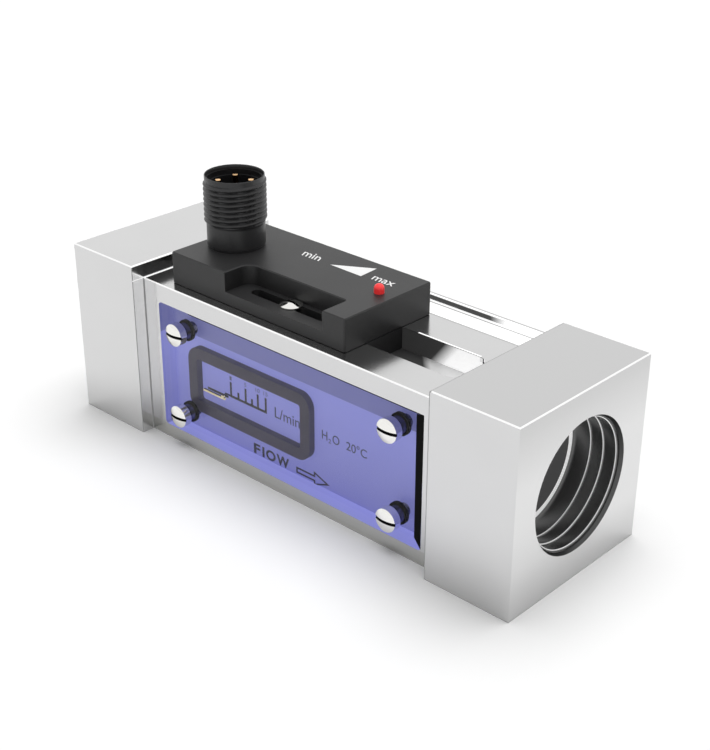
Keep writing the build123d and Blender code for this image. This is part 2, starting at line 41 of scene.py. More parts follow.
# The bar: one milled length of plated metal with a satin grain. The groove and the rebate in
# its top are polished. The streaks of light and shade on the metal, in them, along its edges and
# on its faces, are painted light: painted reflections, highlights and shade, each on an area
# given by its place.
def shader_group(name, inputs, outputs):
    """A shader node group with named sockets, and its two end nodes."""
    tree = bpy.data.node_groups.new(name, "ShaderNodeTree")
    for label, kind, value in inputs:
        socket = tree.interface.new_socket(name=label, in_out="INPUT", socket_type=kind)
        socket.default_value = value
    for label, kind in outputs:
        tree.interface.new_socket(name=label, in_out="OUTPUT", socket_type=kind)
    return tree, tree.nodes.new("NodeGroupInput"), tree.nodes.new("NodeGroupOutput")


def add(tree, kind, links=None, **settings):
    """Adds a node to a tree, with plain values or sockets of other nodes for its inputs."""
    node = tree.nodes.new(kind)
    for key, value in settings.items():
        setattr(node, key, value)
    for key, value in (links or {}).items():
        if isinstance(value, bpy.types.NodeSocket):
            tree.links.new(value, node.inputs[key])
        else:
            node.inputs[key].default_value = value
    return node


def maths(tree, how, *values):
    """One step of arithmetic on plain values or sockets."""
    return add(tree, "ShaderNodeMath", dict(enumerate(values)), operation=how).outputs[0]


def vector_maths(tree, how, *values):
    return add(tree, "ShaderNodeVectorMath", dict(enumerate(values)), operation=how)


def grain_group():
    """Fine grain: a speckle that lightens and darkens a colour, and roughens the surface."""
    tree, given, made = shader_group(
        "fine_grain",
        [("Colour", "NodeSocketColor", (0.8, 0.8, 0.8, 1)), ("Grains per metre", "NodeSocketFloat", 4000),
         ("Contrast", "NodeSocketFloat", 0.1), ("Roughness", "NodeSocketFloat", 0.3),
         ("Spread", "NodeSocketFloat", 0.05)],
        [("Colour", "NodeSocketColor"), ("Roughness", "NodeSocketFloat"), ("Height", "NodeSocketFloat")])
    place = add(tree, "ShaderNodeTexCoord").outputs["Object"]
    speckle = add(tree, "ShaderNodeTexNoise",
                  {"Vector": place, "Scale": given.outputs["Grains per metre"], "Detail": 3.0,
                   "Roughness": 0.6})
    cloud = add(tree, "ShaderNodeTexNoise", {"Vector": place, "Scale": 90.0, "Detail": 2.0})
    both = maths(tree, "ADD", speckle.outputs["Fac"], cloud.outputs["Fac"])
    centred = maths(tree, "SUBTRACT", both, 1.0)
    level = maths(tree, "ADD", maths(tree, "MULTIPLY", centred, given.outputs["Contrast"]), 1.0)
    shaded = vector_maths(tree, "MULTIPLY", given.outputs["Colour"], level)
    rough = maths(tree, "MULTIPLY_ADD", centred, given.outputs["Spread"], given.outputs["Roughness"])
    tree.links.new(shaded.outputs[0], made.inputs["Colour"])
    tree.links.new(rough, made.inputs["Roughness"])
    tree.links.new(speckle.outputs["Fac"], made.inputs["Height"])
    return tree


fine_grain = grain_group()


def material(name, colour, roughness, metallic=0.0, grains=4000, contrast=0.1, spread=0.05, bump=0.1,
             **plain):
    """A material with fine grain. The extra names are the shader's own plain inputs."""
    made = bpy.data.materials.new(name)
    made.use_nodes = True
    tree = made.node_tree
    shader = tree.nodes["Principled BSDF"]
    grain = add(tree, "ShaderNodeGroup",
                {"Colour": (*colour, 1), "Grains per metre": grains, "Contrast": contrast,
                 "Roughness": roughness, "Spread": spread}, node_tree=fine_grain)
    tree.links.new(grain.outputs["Colour"], shader.inputs["Base Color"])
    tree.links.new(grain.outputs["Roughness"], shader.inputs["Roughness"])
    if bump:
        relief = add(tree, "ShaderNodeBump",
                     {"Strength": bump, "Distance": 0.00005, "Height": grain.outputs["Height"]})
        tree.links.new(relief.outputs["Normal"], shader.inputs["Normal"])
    shader.inputs["Metallic"].default_value = metallic
    for label, value in plain.items():
        shader.inputs[label.replace("_", " ")].default_value = value
    return made


def dress(made, *names):
    """Gives CAD nodes a material."""
    for name in names:
        for slot in nodes[name].material_slots:
            slot.material = made


def grey(level):
    return (level, level, level)


def near(value, reach=0.1):
    """The limits a short way to both sides of a value."""
    return value - reach, value + reach


class Areas:
    """Masks over one material: each is 1 in an area of the surface and 0 outside it."""

    def __init__(self, made):
        self.tree = made.node_tree
        self.shader = self.tree.nodes["Principled BSDF"]
        self.place = add(self.tree, "ShaderNodeTexCoord").outputs["Object"]

    def between(self, length, low, high):
        """Where a length lies between two limits in millimetres."""
        return maths(self.tree, "COMPARE", length, (low + high) / 2 * mm, (high - low) / 2 * mm)

    def inside(self, **limits):
        """Where a point lies within limits for its X, Y or Z, in millimetres."""
        split = add(self.tree, "ShaderNodeSeparateXYZ", {0: self.place})
        return self.all_of(*(self.between(split.outputs[axis], *pair) for axis, pair in limits.items()))

    def facing(self, *axes, least=0.9):
        """Where a face looks along one of the axes, either way."""
        normal = add(self.tree, "ShaderNodeNewGeometry").outputs["Normal"]
        split = add(self.tree, "ShaderNodeSeparateXYZ", {0: normal})
        sizes = [maths(self.tree, "ABSOLUTE", split.outputs[axis]) for axis in axes]
        return self.any_of(*(maths(self.tree, "GREATER_THAN", size, least) for size in sizes))

    def rising(self, direction, start, end):
        """Rises from 0 to 1 along a direction, between two lengths in millimetres."""
        length = vector_maths(self.tree, "DOT_PRODUCT", self.place, direction).outputs["Value"]
        return add(self.tree, "ShaderNodeMapRange",
                   {"Value": length, "From Min": start * mm, "From Max": end * mm}).outputs[0]

    def joined(self, how, masks):
        whole = masks[0]
        for mask in masks[1:]:
            whole = maths(self.tree, how, whole, mask)
        return whole

    def all_of(self, *masks):
        return self.joined("MULTIPLY", masks)

    def any_of(self, *masks):
        return self.joined("MAXIMUM", masks)

    def outside(self, mask):
        return maths(self.tree, "SUBTRACT", 1.0, mask)

    def blended_colour(self, mask, label, before, colour):
        blend = add(self.tree, "ShaderNodeMix", {0: mask, 6: before, 7: (*colour, 1)}, data_type="RGBA")
        self.tree.links.new(blend.outputs[2], self.shader.inputs[label])

    def finish(self, mask, colour=None, roughness=None, metallic=None):
        """Gives an area its own colour, roughness or metallic value."""
        if colour is not None:
            before = self.shader.inputs["Base Color"].links[0].from_socket
            self.blended_colour(mask, "Base Color", before, colour)
        for label, value in (("Roughness", roughness), ("Metallic", metallic)):
            if value is None:
                continue
            socket = self.shader.inputs[label]
            before = socket.links[0].from_socket if socket.is_linked else socket.default_value
            blend = add(self.tree, "ShaderNodeMix", {0: mask, 2: before, 3: value}, data_type="FLOAT")
            self.tree.links.new(blend.outputs[0], socket)

    def paint(self, mask, colour, glow):
        """Gives an area a matt paint that is lit a little from within."""
        self.finish(mask, colour, 0.5, 0.0)
        self.shader.inputs["Emission Strength"].default_value = 1.0
        socket = self.shader.inputs["Emission Color"]
        before = socket.links[0].from_socket if socket.is_linked else (0, 0, 0, 1)
        self.blended_colour(mask, "Emission Color", before, glow)


END_X = 55.25
BLOCK_X = 37.25
MIDDLE = (-BLOCK_X + 0.05, BLOCK_X - 0.05)
FRONT_Y = -18.0
BACK_Y = 18.0
FACE_Y = -15.3
BAR_TOP = 36.0
DECK_Z = 33.0
GROOVE_Z = 28.8
GROOVE_BACK = 2.05
GROOVE_END = 34.2
REBATE_Z = 32.0
REBATE_FRONT = 10.2
REBATE_BACK = 16.8
WINDOW_FOOT = 2.85

bar_metal = material("bar_metal", grey(0.66), 0.17, metallic=1.0, grains=5200, contrast=0.05, spread=0.06,
                     bump=0.06)
bar = Areas(bar_metal)
flats = bar.facing("X", "Y", "Z")

# The floors and walls of the groove and the rebate. The floors are painted white, and the
# groove's floor dark near the tongue, as painted reflections; the back walls are painted dark
# with a bright end, as painted reflections; the groove's end corner is painted shade.
channels = bar.inside(X=MIDDLE, Y=(FACE_Y + 0.1, BACK_Y - 0.1), Z=(GROOVE_Z - 0.3, DECK_Z - 0.1))
bar.finish(channels, grey(0.97), 0.06)
floors = bar.all_of(channels, bar.facing("Z"))
# Painted reflection: the floors a matt white.
bar.finish(floors, grey(0.92), 0.4, 0.0)
groove_floor = bar.all_of(floors, bar.inside(Z=near(GROOVE_Z, 0.3)))
bar.finish(groove_floor, grey(0.62))
# Painted dark reflection on the groove's floor near the tongue.
near_tongue = bar.outside(bar.rising((1, 0.97, 0), 20.6, 22.4))
bar.finish(bar.all_of(groove_floor, near_tongue), grey(0.04))
walls = bar.all_of(channels, bar.facing("Y"))
# Painted reflections on the back walls: dark, rising to bright towards the outlet end.
WALLS = ((near(GROOVE_BACK, 0.15), (1, 0, -0.776), -1.7, 1.6),
         (near(REBATE_BACK), (1, 0, 0), 22.3, 26.0))
for across, direction, start, end in WALLS:
    wall = bar.all_of(walls, bar.inside(Y=across))
    bar.paint(wall, grey(0.02), grey(0.02))
    bar.paint(bar.all_of(wall, bar.rising(direction, start, end)), grey(0.6), grey(0.7))
# Painted shade in the groove's end corner.
corner = bar.inside(X=(GROOVE_END - 2.6, GROOVE_END - 0.2), Y=(GROOVE_BACK - 2.35, GROOVE_BACK + 0.01),
                    Z=(DECK_Z - 1, DECK_Z + 0.05))
bar.finish(bar.all_of(corner, bar.outside(bar.facing("X", "Z"))), grey(0.01))

# The bright strips and the dark lines beside them, on the deck and on the rebate's floor: the
# strips are painted highlights and the lines are painted shade, both lit a little from within.
LINE = 0.45
deck = bar.all_of(bar.facing("Z"), bar.inside(X=MIDDLE, Z=near(DECK_Z)))
rebate_floor = bar.all_of(floors, bar.inside(Y=(10, REBATE_BACK), Z=near(REBATE_Z, 0.2)))
strips = bar.any_of(bar.inside(Y=(REBATE_BACK, REBATE_BACK + 0.9)),
                    bar.inside(Y=(GROOVE_BACK - 0.05, GROOVE_BACK + 0.4), X=(17.6, 31.8)))
bar.paint(bar.any_of(bar.all_of(deck, strips), rebate_floor), grey(0.6), grey(0.6))
lines = [bar.all_of(floor, bar.inside(Y=(y, y + LINE)))
         for floor, y in ((deck, REBATE_FRONT - LINE), (rebate_floor, REBATE_BACK - 1.15),
                          (deck, REBATE_BACK + 0.55))]
bar.paint(bar.any_of(*lines), grey(0.35), grey(0.15))

# Painted light on the end faces, the broken upper edges, the strip below the window and the
# sides near the floor: the end faces are lighter and painted darker towards their top, the
# broken edges carry a painted highlight, the strip below the window is painted shade, the inlet
# block's step face is painted lighter, and the sides are painted darker towards the floor.
ends = bar.all_of(bar.outside(bar.inside(X=near(0, END_X - 0.25))), bar.facing("X"))
bar.finish(ends, grey(0.73), 0.2)
bar.finish(bar.all_of(ends, bar.rising((0, 0, 1), 24, BAR_TOP)), grey(0.58))
upper = bar.inside(Z=(DECK_Z - 0.5, BAR_TOP + 1))
bar.finish(bar.all_of(bar.outside(flats), upper), grey(1), 0.1)
low_strip = bar.inside(X=MIDDLE, Y=near(FACE_Y), Z=(0.2, WINDOW_FOOT))
bar.finish(low_strip, (0.52, 0.52, 0.50), 0.25)
step = bar.all_of(bar.facing("X"), bar.inside(X=near(-BLOCK_X, 0.05), Y=(FRONT_Y, FACE_Y)))
bar.finish(step, grey(0.86))
low_sides = bar.all_of(bar.facing("X", "Y"), bar.rising((0, 0, -1), -9, 0))
bar.finish(bar.all_of(low_sides, bar.outside(low_strip)), grey(0.59))

# The edges that look dark or bright, the outlet block's top and its front corner: painted
# shade lines and painted highlights on the edges, the block's top painted darker as painted
# shade, and a painted highlight on its front corner.
dark_edges = bar.any_of(
    bar.inside(X=(-BLOCK_X - 0.05, -BLOCK_X + 0.13), Y=(FACE_Y - 0.2, FACE_Y + 0.1), Z=(0, DECK_Z)),
    bar.inside(X=(BLOCK_X - 0.05, BLOCK_X + 0.17), Y=(FRONT_Y - 0.1, FRONT_Y + 0.05), Z=(0, BAR_TOP - 0.2)),
    bar.inside(X=(BLOCK_X - 0.05, BLOCK_X + 0.35), Z=(BAR_TOP - 0.3, BAR_TOP + 0.1)),
    bar.inside(Z=(-0.1, 0.16)),
    bar.inside(X=(-BLOCK_X - 0.15, -BLOCK_X + 0.05), Y=near(FRONT_Y), Z=(0, BAR_TOP - 0.4)))
bar.paint(dark_edges, grey(0.25), grey(0.1))
bright_edges = bar.any_of(
    bar.inside(X=(-BLOCK_X - 0.05, -BLOCK_X + 0.35), Z=near(DECK_Z)),
    bar.inside(X=(-BLOCK_X - 0.35, -BLOCK_X + 0.05), Z=(BAR_TOP - 0.2, BAR_TOP + 0.1)))
bar.paint(bright_edges, grey(0.6), grey(0.6))
block_top = bar.all_of(bar.facing("Z"), bar.inside(X=(BLOCK_X + 0.35, END_X - 0.25), Z=near(BAR_TOP)))
bar.finish(block_top, grey(0.6))
front_corner = bar.inside(X=(END_X - 0.35, END_X + 0.15), Y=(FRONT_Y - 0.2, FRONT_Y + 0.4),
                          Z=(0.4, BAR_TOP - 0.5))
bar.paint(bar.all_of(front_corner, bar.outside(flats)), grey(0.6), grey(0.45))
dress(bar_metal, "body_block")


# The threads in the two ports: three low rings round the wall of each, evenly spaced, whose
# crests are painted bright and lit a little from within as painted highlights. They run from
# just inside the mouth to the relief in front of the shoulder.
def object_from(name, mesh, made, body, sharp=35.0):
    """An object at the origin, smooth except at its sharp edges, that rides on a body."""
    mesh.polygons.foreach_set("use_smooth", [True] * len(mesh.polygons))
    mesh.set_sharp_from_angle(angle=radians(sharp))
    mesh.materials.clear()
    mesh.materials.append(made)
    piece = bpy.data.objects.new(name, mesh)
    bpy.context.scene.collection.objects.link(piece)
    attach(piece, body)
    return piece


def mesh_from(name, shape, place=None):
    """A mesh from a bmesh given in millimetres, with its faces turned outwards."""
    bmesh.ops.recalc_face_normals(shape, faces=shape.faces)
    shape.transform(Matrix.Scale(mm, 4))
    if place is not None:
        shape.transform(place)
    mesh = bpy.data.meshes.new(name)
    shape.to_mesh(mesh)
    shape.free()
    return mesh


def moved(x, y, z, turn=None):
    """A place in millimetres, with an optional turn first."""
    return Matrix.Translation(Vector((x, y, z)) * mm) @ (turn or Matrix())


def ring(shape, radii, height):
    """A ring of vertices about Z, one for each radius."""
    turn = 2 * pi / len(radii)
    return [shape.verts.new((radius * cos(i * turn), radius * sin(i * turn), height))
            for i, radius in enumerate(radii)]


def skin(shape, rings, closed=False):
    """Faces between rings of vertices that follow each other; a ring of one vertex is a tip."""
    around = max(len(vertices) for vertices in rings)
    following = rings[1:] + rings[:1] if closed else rings[1:]
    for first, second in zip(rings, following):
        for i in range(around):
            corners = [vertices[k % len(vertices)]
                       for vertices, k in ((first, i), (first, i + 1), (second, i + 1), (second, i))]
            shape.faces.new(list(dict.fromkeys(corners)))


def spun(shape, profile, around, closed=False):
    """A solid turned about Z from (radius, height) points; a radius of 0 closes it."""
    rings = [ring(shape, [radius] * (around if radius else 1), height) for radius, height in profile]
    skin(shape, rings, closed)


AXIS_Z = 18.0
BORE_R = 8.0
PORT_R = 12.06
PORT_MOUTH_R = 12.46
PORT_MOUTH_X = 54.2
PORT_CREST = 0.34
PORT_PITCH = 2.58
PORT_FIRST = 54.08
PORT_THREAD_START = 46.8
PORT_THREAD_END = 54.6
PORT_STEPS = 110
PORT_SHOULDER_X = 45.0
# The dark of the ports' and the bore's walls is painted shade.
SHADED_WALL = grey(0.16)


def port_radius(height):
    """The radius of the port's wall at a distance from the middle of the bar."""
    turn = (height - PORT_FIRST) / PORT_PITCH % 1.0
    from_crest = min(turn, 1 - turn) * PORT_PITCH
    rise = max(0.0, 1 - from_crest / 0.2)
    fade = min(1.0, (PORT_THREAD_END - height) / 0.4, (height - PORT_THREAD_START) / 0.4)
    return PORT_R - 0.03 - PORT_CREST * rise * max(fade, 0.0)


def from_axis(areas, low, high):
    """Where a point lies between two distances from the bore's axis, in millimetres."""
    away = vector_maths(areas.tree, "SUBTRACT", areas.place, (0, 0, AXIS_Z * mm))
    across = vector_maths(areas.tree, "MULTIPLY", away.outputs[0], (0, 1, 1))
    return areas.between(vector_maths(areas.tree, "LENGTH", across.outputs[0]).outputs["Value"], low, high)


port_metal = material("port_metal", SHADED_WALL, 0.25, metallic=1.0, grains=3000, contrast=0.08, bump=0.08)
port = Areas(port_metal)
# Painted highlight on the thread crests, lit a little from within.
port.paint(from_axis(port, 10, PORT_R - 0.2), grey(0.6), grey(0.3))
for end, name in ((1, "outlet_thread"), (-1, "inlet_thread")):
    thread = bmesh.new()
    heights = [PORT_THREAD_START + (PORT_THREAD_END - PORT_THREAD_START) * step / PORT_STEPS
               for step in range(PORT_STEPS + 1)]
    profile = [(port_radius(height), height) for height in heights]
    profile += [(PORT_R + 0.02, PORT_THREAD_END), (PORT_R + 0.02, PORT_THREAD_START)]
    spun(thread, profile, around=96, closed=True)
    mesh = mesh_from(name, thread, moved(0, 0, AXIS_Z, Matrix.Rotation(radians(90 * end), 4, "Y")))
    object_from(name, mesh, port_metal, "body", sharp=50)

# Painted light in the bore and the ports: the walls painted dark and the mouth darker as painted shade, a
# painted highlight on the mouth's rim and on the shoulder, and the deep bore and the relief lit a little
# from within.
off_ends = bar.outside(bar.facing("X"))
in_blocks = bar.outside(bar.inside(X=near(0, BLOCK_X + 0.75)))
ports = bar.all_of(from_axis(bar, 0, PORT_MOUTH_R + 0.14), in_blocks)
bore = bar.any_of(from_axis(bar, 0, BORE_R + 0.1), ports)
bar.finish(bar.all_of(bore, off_ends), SHADED_WALL, 0.25)
mouth = bar.all_of(ports, bar.outside(bar.inside(X=near(0, PORT_MOUTH_X))), off_ends)
bar.finish(mouth, grey(0.09), 0.3)
rim = from_axis(bar, PORT_MOUTH_R + 0.02, PORT_MOUTH_R + 0.35)
bar.finish(bar.all_of(mouth, rim), grey(1), 0.15)
bar.paint(bar.all_of(from_axis(bar, BORE_R - 0.5, BORE_R + 1.5), off_ends), grey(0.05), grey(0.05))
inner_end = bar.all_of(bar.inside(X=near(0, PORT_SHOULDER_X + 0.1)), ports)
shoulder = bar.facing("X", least=0.6)
bar.paint(bar.all_of(inner_end, shoulder), grey(0.6), grey(0.55))
bar.paint(bar.all_of(inner_end, bar.outside(shoulder)), grey(0.05), grey(0.036))


# The window: a clear plate of cast plastic let into the front pocket, with a bevel at both
# ends. The lavender blue is the paint of the pocket behind it, lit a little from within as
# painted light; it is painted darker towards its foot and in a band below its top edge as
# painted shade, and lighter in a band at its foot as painted light.
WINDOW_X = 0.5
WINDOW_Z = 16.05
HALF_LENGTH = 33.6
HALF_HEIGHT = 13.2
PLATE_BEVEL = 0.7
PLATE_BACK = -10.8
FLOOR_Y = -9.45

pocket = bar.inside(X=near(WINDOW_X, HALF_LENGTH + 0.05), Y=(FACE_Y + 0.01, FLOOR_Y + 0.05),
                    Z=near(WINDOW_Z, HALF_HEIGHT + 0.05))
# The pocket's lavender paint, lit a little from within as painted light.
bar.paint(pocket, (0.14, 0.145, 0.36), (0.165, 0.175, 0.425))
# Painted shade towards the pocket's foot.
bar.paint(bar.all_of(pocket, bar.rising((0, 0, -1), -20, -3)), (0.11, 0.115, 0.27), (0.115, 0.12, 0.31))
# The slit for the pointer's blade is painted black as painted shade.
bar.paint(bar.inside(X=(-30, 0), Y=(FLOOR_Y + 0.06, -5), Z=(11.6, 13.9)), grey(0.004), grey(0))
# Painted shadow of the pocket's top edge.
bar.paint(bar.all_of(pocket, bar.inside(Z=(22.9, 30))), (0.12, 0.125, 0.24), (0.09, 0.095, 0.24))
# Painted light on a band at the pocket's foot.
bar.paint(bar.all_of(pocket, bar.inside(Z=(2, WINDOW_FOOT + 0.05))), (0.15, 0.155, 0.38),
          (0.20, 0.21, 0.52))

clear_plate = bpy.data.materials.new("clear_plate")
clear_plate.use_nodes = True
tree = clear_plate.node_tree
shader = tree.nodes["Principled BSDF"]
shader.inputs["Transmission Weight"].default_value = 1.0
shader.inputs["IOR"].default_value = 1.49
shader.inputs["Specular Tint"].default_value = (0.02, 0.02, 0.02, 1)
shader.inputs["Roughness"].default_value = 0.0
haze = add(tree, "ShaderNodeTexNoise", {"Vector": add(tree, "ShaderNodeTexCoord").outputs["Object"],
                                        "Scale": 60.0, "Detail": 2.0})
tint = add(tree, "ShaderNodeMix", {0: haze.outputs["Fac"], 6: (0.985, 0.985, 1.0, 1), 7: (1.0, 1.0, 1.0, 1)},
           data_type="RGBA")
tree.links.new(tint.outputs[2], shader.inputs["Base Color"])


def flat_shape(outline, thickness):
    """A thin plate from (across, up) points, from z = 0 to its thickness."""
    shape = bmesh.new()
    low, high = ([shape.verts.new((x, y, z)) for x, y in outline] for z in (0, thickness))
    shape.faces.new(low[::-1])
    shape.faces.new(high)
    skin(shape, [low, high])
    return shape


left = WINDOW_X - HALF_LENGTH - 0.02
right = WINDOW_X + HALF_LENGTH + 0.02
back = PLATE_BACK - 0.02
outline = [(left + PLATE_BEVEL, FACE_Y), (right - PLATE_BEVEL, FACE_Y), (right, FACE_Y + PLATE_BEVEL),
           (right, back), (left, back), (left, FACE_Y + PLATE_BEVEL)]
plate = flat_shape(outline, 2 * HALF_HEIGHT + 0.04)
mesh = mesh_from("window_plate_polished", plate, moved(0, 0, WINDOW_Z - HALF_HEIGHT - 0.02))
piece = object_from("window_plate_polished", mesh, clear_plate, "body", sharp=20)
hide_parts("window_plate")


# The gasket: a moulded frame of black rubber with rounded corners, pressed between the plate
# and the pocket's floor. It shows through the plate.
gasket_rubber = material("gasket_rubber", (0.085, 0.075, 0.11), 0.6, grains=2500, contrast=0.2, bump=0.2)
dress(gasket_rubber, "window_gasket")


# The scale and the words: printed in dark ink on the floor of the pocket, behind the plate,
# with a dark bar behind the pointer that is painted shadow.
# They are a few hundredths of a millimetre thick.
INK = 0.03
STROKE = 0.5
TICK_FOOT = 13.3
LONG_TICK = 16.15
SHORT_TICK = 14.57
NUMBERED = {"1": -17.1, "5": -13.0, "10": -9.65, "15": -7.5}
BETWEEN = (-15.03, -11.27)

TO_FRONT = Matrix.Rotation(radians(90), 4, "X")
on_floor = moved(0, FLOOR_Y, 0, TO_FRONT)
window_ink = material("window_ink", (0.012, 0.010, 0.010), 0.5, contrast=0.1, bump=0)
slate_ink = material("slate_ink", (0.05, 0.06, 0.12), 0.5, contrast=0.1, bump=0)
faint_ink = material("faint_ink", (0.13, 0.14, 0.30), 0.5, contrast=0.1, bump=0)


def strip(x0, x1, y0, y1):
    """The outline of an upright rectangle."""
    return [(x0, y0), (x1, y0), (x1, y1), (x0, y1)]


def join(shapes):
    """One bmesh from several."""
    whole = bmesh.new()
    for shape in shapes:
        part = bpy.data.meshes.new("part")
        shape.to_mesh(part)
        shape.free()
        whole.from_mesh(part)
        bpy.data.meshes.remove(part)
    return whole


# The second strip is a dark bar behind the pointer at rest: painted shadow of the pointer.
ticks = [strip(-17.35, -7.25, 12.9, 13.42), strip(-23.8, -17.9, 12.4, 12.9)]
for top, places in ((LONG_TICK, NUMBERED.values()), (SHORT_TICK, BETWEEN)):
    ticks += [strip(x - STROKE / 2, x + STROKE / 2, TICK_FOOT, top) for x in places]
scale = join([flat_shape(outline, INK) for outline in ticks])
object_from("flow_scale", mesh_from("flow_scale", scale, on_floor), window_ink, "body")


def letters(name, words, box, place, made, body, bold=0.0, slant=0.0):
    """Printed words that fill a box (x0, x1, y0, y1) on the plane of a place."""
    curve = bpy.data.curves.new(name, "FONT")
    curve.body = words
    curve.offset = bold
    curve.resolution_u = 6
    curve.fill_mode = "FRONT"
    holder = bpy.data.objects.new(name, curve)
    bpy.context.scene.collection.objects.link(holder)
    bpy.context.view_layer.update()
    drawn = bpy.data.meshes.new_from_object(holder.evaluated_get(bpy.context.evaluated_depsgraph_get()))
    bpy.data.objects.remove(holder)
    shape = bmesh.new()
    shape.from_mesh(drawn)
    bpy.data.meshes.remove(drawn)
    bmesh.ops.remove_doubles(shape, verts=shape.verts, dist=0.0005)
    xs = [v.co.x for v in shape.verts]
    ys = [v.co.y for v in shape.verts]
    x0, x1, y0, y1 = box
    wide = (x1 - x0) / (max(xs) - min(xs))
    tall = (y1 - y0) / (max(ys) - min(ys))
    low_x, low_y = min(xs), min(ys)
    for v in shape.verts:
        height = (v.co.y - low_y) * tall
        v.co = Vector((x0 + (v.co.x - low_x) * wide + slant * height, y0 + height, 0.0))
    grown = bmesh.ops.extrude_face_region(shape, geom=shape.faces[:])
    for part in grown["geom"]:
        if isinstance(part, bmesh.types.BMVert):
            part.co.z += INK
    return object_from(name, mesh_from(name, shape, place), made, body)


BOLD = 0.03
WORDS = (("flow_unit", "L/min", (-5.1, 1.45, 13.0, 15.2), slate_ink, 0.0),
         ("flow_F", "F", (-11.1, -9.35, 3.1, 5.3), window_ink, BOLD),
         ("flow_l", "l", (-8.75, -8.2, 3.1, 5.3), window_ink, BOLD),
         ("flow_O", "O", (-7.75, -5.15, 3.1, 5.3), window_ink, BOLD),
         ("flow_W", "W", (-4.85, -1.5, 3.1, 5.3), window_ink, BOLD),
         ("water_h", "H", (7.15, 8.5, 13.2, 15.0), slate_ink, 0.0),
         ("water_2", "2", (8.8, 9.4, 12.9, 13.8), slate_ink, 0.0),
         ("water_o", "O", (9.8, 11.5, 13.2, 15.0), slate_ink, 0.0),
         ("water_temperature", "20°C", (13.2, 18.2, 13.2, 15.0), slate_ink, 0.0))
for name, words, box, ink, bold in WORDS:
    letters(name, words, box, on_floor, ink, "body", bold=bold)
for number, (words, x) in enumerate(NUMBERED.items(), 1):
    half = 0.28 * len(words)
    letters(f"scale_number_{number}", words, (x - half, x + half, 16.6, 17.4), on_floor, faint_ink, "body")

ARROW = ((0.4, 3.3), (5.0, 3.3), (5.0, 2.45), (9.0, 3.95), (5.0, 5.45), (5.0, 4.6), (0.4, 4.6))
ARROW_INSIDE = ((0.75, 3.65), (5.35, 3.65), (5.35, 2.95), (8.05, 3.95), (5.35, 4.95), (5.35, 4.25),
                (0.75, 4.25))
arrow = bmesh.new()
outer_low, outer_high, inner_low, inner_high = (
    [arrow.verts.new((x, y, z)) for x, y in outline]
    for outline in (ARROW, ARROW_INSIDE) for z in (0, INK))
skin(arrow, [outer_low, outer_high, inner_high, inner_low], closed=True)
object_from("flow_arrow", mesh_from("flow_arrow", arrow, on_floor), window_ink, "body")


# The four cover screws: slotted cheese heads, bright plated, that clamp the plate. Their
# shanks run down through the plate into the bar; the length inside the plate is painted
# darker and the slots black, as painted shade.
def cut(shape, tool):
    """Takes one bmesh away from another."""
    holders = []
    for name, part in (("cut_from", shape), ("cut_by", tool)):
        bmesh.ops.recalc_face_normals(part, faces=part.faces)
        mesh = bpy.data.meshes.new(name)
        part.to_mesh(mesh)
        part.free()
        holder = bpy.data.objects.new(name, mesh)
        bpy.context.scene.collection.objects.link(holder)
        holders.append(holder)
    step = holders[0].modifiers.new("cut", "BOOLEAN")
    step.operation = "DIFFERENCE"
    step.solver = "EXACT"
    step.object = holders[1]
    bpy.context.view_layer.update()
    made = bpy.data.meshes.new_from_object(holders[0].evaluated_get(bpy.context.evaluated_depsgraph_get()))
    for holder in holders:
        bpy.data.objects.remove(holder)
    result = bmesh.new()
    result.from_mesh(made)
    bpy.data.meshes.remove(made)
    return result


def screw_shape(head_r, side, dome, shank_r, shank, slot_width, slot_depth, pitch, neck_r=0.0, neck=0.0):
    """A slotted screw that stands on z = 0 and points down, with a domed head and a ringed thread."""
    ball_r = (head_r ** 2 + dome ** 2) / (2 * dome)
    top = side + dome
    profile = [(0, -shank)]
    z = -shank
    while z < -0.4:
        outer_r = neck_r if z > -neck else shank_r
        profile += [(outer_r * 0.86, z), (outer_r * 0.98, z + pitch * 0.5)]
        z += pitch
    profile += [(outer_r * 0.98, -0.1), (outer_r * 0.98, 0)]
    profile += [(head_r - 0.08, 0), (head_r, 0.08), (head_r, side)]
    for step in range(1, 8):
        radius = head_r * (1 - step / 8)
        profile.append((radius, top - ball_r + sqrt(ball_r ** 2 - radius ** 2)))
    profile.append((0, top))
    body = bmesh.new()
    spun(body, profile, around=48)
    driver = flat_shape(strip(-2 * head_r, 2 * head_r, -slot_width / 2, slot_width / 2), slot_depth + 1)
    driver.transform(Matrix.Translation((0, 0, top - slot_depth)))
    return cut(body, driver)


def finish_faces(piece, made, **limits):
    """Gives the faces whose middle lies within limits for X, Y or Z, in millimetres, a finish."""
    piece.data.materials.append(made)
    for face in piece.data.polygons:
        middle = dict(zip("XYZ", face.center))
        if all(low * mm <= middle[axis] <= high * mm for axis, (low, high) in limits.items()):
            face.material_index = len(piece.data.materials) - 1


bright_plate = material("bright_plate", (0.86, 0.85, 0.82), 0.1, metallic=1.0, grains=3000, contrast=0.05,
                        spread=0.04, bump=0.03)
shade_black = material("shade_black", grey(0.004), 0.6, grains=2000, contrast=0.1, bump=0,
                       Specular_IOR_Level=0.05)
shaded_shank = material("shaded_shank", (0.10, 0.10, 0.17), 0.12, metallic=1.0, grains=3000, contrast=0.05,
                      bump=0)

